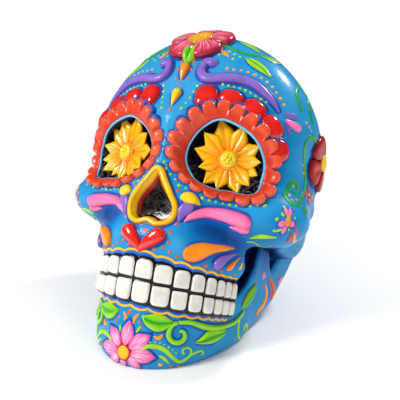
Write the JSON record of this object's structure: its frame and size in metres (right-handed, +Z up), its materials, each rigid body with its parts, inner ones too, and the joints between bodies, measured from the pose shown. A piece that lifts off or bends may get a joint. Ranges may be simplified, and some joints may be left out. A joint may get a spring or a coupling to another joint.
{
  "type": "sugar skull",
  "caption": "Painted sugar skull display piece: hollow blue shell, scalloped flower-filled eye sockets, ivory teeth, fixed lower jaw and raised floral ornament.",
  "frame": {"origin": "on the floor, under the middle of the object's box", "axes": "+Z up, the face looks along -Y, +X to the skull's own left"},
  "size_m": [0.359, 0.3786, 0.4125],
  "materials": {
    "blue_shell": "hand-painted blue under clear gloss varnish",
    "bare_resin": "bare resin",
    "ivory": "ivory paint, gloss varnish",
    "black_lining": "black paint over a wrinkled lining, gloss varnish",
    "gold": "gold-yellow paint, gloss varnish",
    "yellow": "yellow paint, gloss varnish",
    "orange_red": "orange-red paint, gloss varnish",
    "red": "red paint, gloss varnish",
    "purple": "purple paint, gloss varnish",
    "orange": "orange paint, gloss varnish",
    "pink": "pink paint, gloss varnish",
    "crimson": "crimson paint, gloss varnish",
    "lime": "lime paint, gloss varnish",
    "green": "green paint, gloss varnish"
  },
  "bodies": {
    "root": {"face_shell": "blue_shell", "rear_shell": "blue_shell", "neck_collar": "blue_shell", "seam_strip": "bare_resin", "neck_foot": "blue_shell", "lower_jaw": "blue_shell", "upper_teeth": "ivory", "lower_teeth": "ivory", "eye_cup_l": "black_lining", "eye_cup_r": "black_lining", "eye_flower_l": "gold", "eye_flower_r": "gold", "eye_flower_disc_l": "yellow", "eye_flower_disc_r": "yellow", "eye_flower_stem_l": "black_lining", "eye_flower_stem_r": "black_lining", "eye_ring_l": "orange_red", "eye_ring_r": "orange_red", "eye_lobes_l": "red", "eye_lobes_r": "red", "nose_cup": "black_lining", "nose_rim": "yellow", "brow_scroll_l": "purple", "brow_scroll_r": "purple", "forehead_drop_orange": "orange", "forehead_drop_yellow": "yellow", "cheek_seed_l": "yellow", "cheek_seed_r": "yellow", "cheek_swoosh_l": "pink", "cheek_swoosh_r": "pink", "cheek_tip_l": "purple", "cheek_tip_r": "purple", "lip_heart": "red", "lip_drop_orange_l": "orange", "lip_drop_orange_r": "orange", "lip_drop_purple_l": "purple", "lip_drop_purple_r": "purple", "lip_drop_small_l": "orange", "lip_drop_small_r": "orange", "crown_flower": "crimson", "crown_leaf": "lime", "crown_disc": "gold", "side_flower_l": "red", "side_flower_r": "red", "side_flower_disc_l": "yellow", "side_flower_disc_r": "yellow", "jaw_vine_l": "green", "jaw_vine_r": "green", "jaw_leaf_inner_l": "lime", "jaw_leaf_inner_r": "lime", "jaw_leaf_outer_l": "lime", "jaw_leaf_outer_r": "lime", "jaw_leaf_low_l": "lime", "jaw_leaf_low_r": "lime"}
  },
  "joints": []
}
